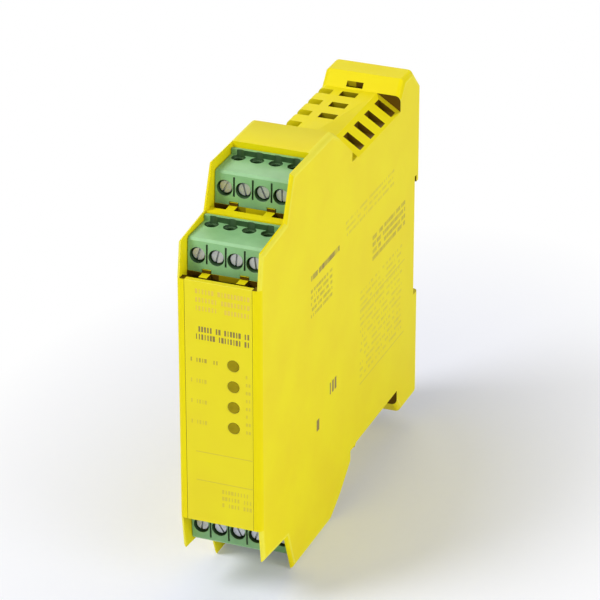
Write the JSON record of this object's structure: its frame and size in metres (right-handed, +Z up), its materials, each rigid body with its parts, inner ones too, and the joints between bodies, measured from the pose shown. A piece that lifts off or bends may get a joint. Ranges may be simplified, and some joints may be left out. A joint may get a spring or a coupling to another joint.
{
  "type": "safety relay",
  "caption": "Slim rail-mounted safety relay: stepped yellow housing, green pull-off screw terminal plugs on two shelves top and bottom, front indicators and a sprung rail foot.",
  "frame": {"origin": "middle of the rail seat: centre of the module width, mid-height of the rail, on the plane where the rail edges bear", "axes": "+X across the width to the right seen from the front, +Y from the front towards the rail, +Z up"},
  "size_m": [0.0226, 0.1147, 0.112],
  "materials": {
    "housing_yellow": "fine moulded grain",
    "cover_yellow": "smooth moulded",
    "foot_plastic": "moulded",
    "plug_green": "moulded",
    "header_green": "moulded",
    "screw_steel": "zinc plated",
    "cage_steel": "zinc plated",
    "contact_tin": "tin plated",
    "pin_tin": "tin plated",
    "light_guide": "smoky clear",
    "circuit_board": "solder mask",
    "relay_case": "smooth",
    "transformer": "ferrite and wound coil",
    "capacitor_can": "sleeved can",
    "spring_steel": "drawn wire"
  },
  "bodies": {
    "housing": {"housing_right": "housing_yellow", "housing_left": "housing_yellow", "front_cover": "cover_yellow", "light_guide": "light_guide", "circuit_board": "circuit_board", "relay_upper": "relay_case", "relay_lower": "relay_case", "transformer": "transformer", "capacitors": "capacitor_can", "foot_spring": "spring_steel", "top_front_header": "header_green", "top_front_pins": "pin_tin", "top_rear_header": "header_green", "top_rear_pins": "pin_tin", "bottom_front_header": "header_green", "bottom_front_pins": "pin_tin", "bottom_rear_header": "header_green", "bottom_rear_pins": "pin_tin"},
    "rail_foot": {"rail_foot": "foot_plastic"},
    "top_front_plug": {"top_front_plug": "plug_green", "top_front_contacts": "contact_tin"},
    "top_front_screw_1": {"top_front_screw_1": "screw_steel"},
    "top_front_cage_1": {"top_front_cage_1": "cage_steel"},
    "top_front_screw_2": {"top_front_screw_2": "screw_steel"},
    "top_front_cage_2": {"top_front_cage_2": "cage_steel"},
    "top_front_screw_3": {"top_front_screw_3": "screw_steel"},
    "top_front_cage_3": {"top_front_cage_3": "cage_steel"},
    "top_front_screw_4": {"top_front_screw_4": "screw_steel"},
    "top_front_cage_4": {"top_front_cage_4": "cage_steel"},
    "top_rear_plug": {"top_rear_plug": "plug_green", "top_rear_contacts": "contact_tin"},
    "top_rear_screw_1": {"top_rear_screw_1": "screw_steel"},
    "top_rear_cage_1": {"top_rear_cage_1": "cage_steel"},
    "top_rear_screw_2": {"top_rear_screw_2": "screw_steel"},
    "top_rear_cage_2": {"top_rear_cage_2": "cage_steel"},
    "top_rear_screw_3": {"top_rear_screw_3": "screw_steel"},
    "top_rear_cage_3": {"top_rear_cage_3": "cage_steel"},
    "top_rear_screw_4": {"top_rear_screw_4": "screw_steel"},
    "top_rear_cage_4": {"top_rear_cage_4": "cage_steel"},
    "bottom_front_plug": {"bottom_front_plug": "plug_green", "bottom_front_contacts": "contact_tin"},
    "bottom_front_screw_1": {"bottom_front_screw_1": "screw_steel"},
    "bottom_front_cage_1": {"bottom_front_cage_1": "cage_steel"},
    "bottom_front_screw_2": {"bottom_front_screw_2": "screw_steel"},
    "bottom_front_cage_2": {"bottom_front_cage_2": "cage_steel"},
    "bottom_front_screw_3": {"bottom_front_screw_3": "screw_steel"},
    "bottom_front_cage_3": {"bottom_front_cage_3": "cage_steel"},
    "bottom_front_screw_4": {"bottom_front_screw_4": "screw_steel"},
    "bottom_front_cage_4": {"bottom_front_cage_4": "cage_steel"},
    "bottom_rear_plug": {"bottom_rear_plug": "plug_green", "bottom_rear_contacts": "contact_tin"},
    "bottom_rear_screw_1": {"bottom_rear_screw_1": "screw_steel"},
    "bottom_rear_cage_1": {"bottom_rear_cage_1": "cage_steel"},
    "bottom_rear_screw_2": {"bottom_rear_screw_2": "screw_steel"},
    "bottom_rear_cage_2": {"bottom_rear_cage_2": "cage_steel"},
    "bottom_rear_screw_3": {"bottom_rear_screw_3": "screw_steel"},
    "bottom_rear_cage_3": {"bottom_rear_cage_3": "cage_steel"},
    "bottom_rear_screw_4": {"bottom_rear_screw_4": "screw_steel"},
    "bottom_rear_cage_4": {"bottom_rear_cage_4": "cage_steel"}
  },
  "joints": [
    {"name": "rail_foot_pull", "type": "slide", "parent": "housing", "child": "rail_foot", "axis": [0, 0, -1], "range_m": [0, 0.0035], "stiffness_N_per_m": 1500, "springref_m": -0.003, "deforming": ["foot_spring"]},
    {"name": "top_front_plug_pull", "type": "slide", "parent": "housing", "child": "top_front_plug", "axis": [0, -1, 0], "range_m": [0, 0.008]},
    {"name": "top_front_screw_1_turn", "type": "hinge", "parent": "top_front_plug", "child": "top_front_screw_1", "pos_m": [-0.0075, -0.1045, 0.038], "axis": [0, 1, 0], "range_deg": [0, 1600]},
    {"name": "top_front_cage_1_clamp", "type": "slide", "parent": "top_front_plug", "child": "top_front_cage_1", "axis": [0, -1, 0], "range_m": [0, 0.002]},
    {"name": "top_front_screw_2_turn", "type": "hinge", "parent": "top_front_plug", "child": "top_front_screw_2", "pos_m": [-0.0025, -0.1045, 0.038], "axis": [0, 1, 0], "range_deg": [0, 1600]},
    {"name": "top_front_cage_2_clamp", "type": "slide", "parent": "top_front_plug", "child": "top_front_cage_2", "axis": [0, -1, 0], "range_m": [0, 0.002]},
    {"name": "top_front_screw_3_turn", "type": "hinge", "parent": "top_front_plug", "child": "top_front_screw_3", "pos_m": [0.0025, -0.1045, 0.038], "axis": [0, 1, 0], "range_deg": [0, 1600]},
    {"name": "top_front_cage_3_clamp", "type": "slide", "parent": "top_front_plug", "child": "top_front_cage_3", "axis": [0, -1, 0], "range_m": [0, 0.002]},
    {"name": "top_front_screw_4_turn", "type": "hinge", "parent": "top_front_plug", "child": "top_front_screw_4", "pos_m": [0.0075, -0.1045, 0.038], "axis": [0, 1, 0], "range_deg": [0, 1600]},
    {"name": "top_front_cage_4_clamp", "type": "slide", "parent": "top_front_plug", "child": "top_front_cage_4", "axis": [0, -1, 0], "range_m": [0, 0.002]},
    {"name": "top_rear_plug_pull", "type": "slide", "parent": "housing", "child": "top_rear_plug", "axis": [0, -1, 0], "range_m": [0, 0.008]},
    {"name": "top_rear_screw_1_turn", "type": "hinge", "parent": "top_rear_plug", "child": "top_rear_screw_1", "pos_m": [-0.0075, -0.0869, 0.0486], "axis": [0, 1, 0], "range_deg": [0, 1600]},
    {"name": "top_rear_cage_1_clamp", "type": "slide", "parent": "top_rear_plug", "child": "top_rear_cage_1", "axis": [0, -1, 0], "range_m": [0, 0.002]},
    {"name": "top_rear_screw_2_turn", "type": "hinge", "parent": "top_rear_plug", "child": "top_rear_screw_2", "pos_m": [-0.0025, -0.0869, 0.0486], "axis": [0, 1, 0], "range_deg": [0, 1600]},
    {"name": "top_rear_cage_2_clamp", "type": "slide", "parent": "top_rear_plug", "child": "top_rear_cage_2", "axis": [0, -1, 0], "range_m": [0, 0.002]},
    {"name": "top_rear_screw_3_turn", "type": "hinge", "parent": "top_rear_plug", "child": "top_rear_screw_3", "pos_m": [0.0025, -0.0869, 0.0486], "axis": [0, 1, 0], "range_deg": [0, 1600]},
    {"name": "top_rear_cage_3_clamp", "type": "slide", "parent": "top_rear_plug", "child": "top_rear_cage_3", "axis": [0, -1, 0], "range_m": [0, 0.002]},
    {"name": "top_rear_screw_4_turn", "type": "hinge", "parent": "top_rear_plug", "child": "top_rear_screw_4", "pos_m": [0.0075, -0.0869, 0.0486], "axis": [0, 1, 0], "range_deg": [0, 1600]},
    {"name": "top_rear_cage_4_clamp", "type": "slide", "parent": "top_rear_plug", "child": "top_rear_cage_4", "axis": [0, -1, 0], "range_m": [0, 0.002]},
    {"name": "bottom_front_plug_pull", "type": "slide", "parent": "housing", "child": "bottom_front_plug", "axis": [0, -1, 0], "range_m": [0, 0.008]},
    {"name": "bottom_front_screw_1_turn", "type": "hinge", "parent": "bottom_front_plug", "child": "bottom_front_screw_1", "pos_m": [-0.0075, -0.1045, -0.038], "axis": [0, 1, 0], "range_deg": [0, 1600]},
    {"name": "bottom_front_cage_1_clamp", "type": "slide", "parent": "bottom_front_plug", "child": "bottom_front_cage_1", "axis": [0, -1, 0], "range_m": [0, 0.002]},
    {"name": "bottom_front_screw_2_turn", "type": "hinge", "parent": "bottom_front_plug", "child": "bottom_front_screw_2", "pos_m": [-0.0025, -0.1045, -0.038], "axis": [0, 1, 0], "range_deg": [0, 1600]},
    {"name": "bottom_front_cage_2_clamp", "type": "slide", "parent": "bottom_front_plug", "child": "bottom_front_cage_2", "axis": [0, -1, 0], "range_m": [0, 0.002]},
    {"name": "bottom_front_screw_3_turn", "type": "hinge", "parent": "bottom_front_plug", "child": "bottom_front_screw_3", "pos_m": [0.0025, -0.1045, -0.038], "axis": [0, 1, 0], "range_deg": [0, 1600]},
    {"name": "bottom_front_cage_3_clamp", "type": "slide", "parent": "bottom_front_plug", "child": "bottom_front_cage_3", "axis": [0, -1, 0], "range_m": [0, 0.002]},
    {"name": "bottom_front_screw_4_turn", "type": "hinge", "parent": "bottom_front_plug", "child": "bottom_front_screw_4", "pos_m": [0.0075, -0.1045, -0.038], "axis": [0, 1, 0], "range_deg": [0, 1600]},
    {"name": "bottom_front_cage_4_clamp", "type": "slide", "parent": "bottom_front_plug", "child": "bottom_front_cage_4", "axis": [0, -1, 0], "range_m": [0, 0.002]},
    {"name": "bottom_rear_plug_pull", "type": "slide", "parent": "housing", "child": "bottom_rear_plug", "axis": [0, -1, 0], "range_m": [0, 0.008]},
    {"name": "bottom_rear_screw_1_turn", "type": "hinge", "parent": "bottom_rear_plug", "child": "bottom_rear_screw_1", "pos_m": [-0.0075, -0.0869, -0.0486], "axis": [0, 1, 0], "range_deg": [0, 1600]},
    {"name": "bottom_rear_cage_1_clamp", "type": "slide", "parent": "bottom_rear_plug", "child": "bottom_rear_cage_1", "axis": [0, -1, 0], "range_m": [0, 0.002]},
    {"name": "bottom_rear_screw_2_turn", "type": "hinge", "parent": "bottom_rear_plug", "child": "bottom_rear_screw_2", "pos_m": [-0.0025, -0.0869, -0.0486], "axis": [0, 1, 0], "range_deg": [0, 1600]},
    {"name": "bottom_rear_cage_2_clamp", "type": "slide", "parent": "bottom_rear_plug", "child": "bottom_rear_cage_2", "axis": [0, -1, 0], "range_m": [0, 0.002]},
    {"name": "bottom_rear_screw_3_turn", "type": "hinge", "parent": "bottom_rear_plug", "child": "bottom_rear_screw_3", "pos_m": [0.0025, -0.0869, -0.0486], "axis": [0, 1, 0], "range_deg": [0, 1600]},
    {"name": "bottom_rear_cage_3_clamp", "type": "slide", "parent": "bottom_rear_plug", "child": "bottom_rear_cage_3", "axis": [0, -1, 0], "range_m": [0, 0.002]},
    {"name": "bottom_rear_screw_4_turn", "type": "hinge", "parent": "bottom_rear_plug", "child": "bottom_rear_screw_4", "pos_m": [0.0075, -0.0869, -0.0486], "axis": [0, 1, 0], "range_deg": [0, 1600]},
    {"name": "bottom_rear_cage_4_clamp", "type": "slide", "parent": "bottom_rear_plug", "child": "bottom_rear_cage_4", "axis": [0, -1, 0], "range_m": [0, 0.002]}
  ],
  "couplings": [
    {"joint": "top_front_screw_1_turn", "follows": "top_front_cage_1_clamp", "rad_per_m": 13963},
    {"joint": "top_front_screw_2_turn", "follows": "top_front_cage_2_clamp", "rad_per_m": 13963},
    {"joint": "top_front_screw_3_turn", "follows": "top_front_cage_3_clamp", "rad_per_m": 13963},
    {"joint": "top_front_screw_4_turn", "follows": "top_front_cage_4_clamp", "rad_per_m": 13963},
    {"joint": "top_rear_screw_1_turn", "follows": "top_rear_cage_1_clamp", "rad_per_m": 13963},
    {"joint": "top_rear_screw_2_turn", "follows": "top_rear_cage_2_clamp", "rad_per_m": 13963},
    {"joint": "top_rear_screw_3_turn", "follows": "top_rear_cage_3_clamp", "rad_per_m": 13963},
    {"joint": "top_rear_screw_4_turn", "follows": "top_rear_cage_4_clamp", "rad_per_m": 13963},
    {"joint": "bottom_front_screw_1_turn", "follows": "bottom_front_cage_1_clamp", "rad_per_m": 13963},
    {"joint": "bottom_front_screw_2_turn", "follows": "bottom_front_cage_2_clamp", "rad_per_m": 13963},
    {"joint": "bottom_front_screw_3_turn", "follows": "bottom_front_cage_3_clamp", "rad_per_m": 13963},
    {"joint": "bottom_front_screw_4_turn", "follows": "bottom_front_cage_4_clamp", "rad_per_m": 13963},
    {"joint": "bottom_rear_screw_1_turn", "follows": "bottom_rear_cage_1_clamp", "rad_per_m": 13963},
    {"joint": "bottom_rear_screw_2_turn", "follows": "bottom_rear_cage_2_clamp", "rad_per_m": 13963},
    {"joint": "bottom_rear_screw_3_turn", "follows": "bottom_rear_cage_3_clamp", "rad_per_m": 13963},
    {"joint": "bottom_rear_screw_4_turn", "follows": "bottom_rear_cage_4_clamp", "rad_per_m": 13963}
  ]
}
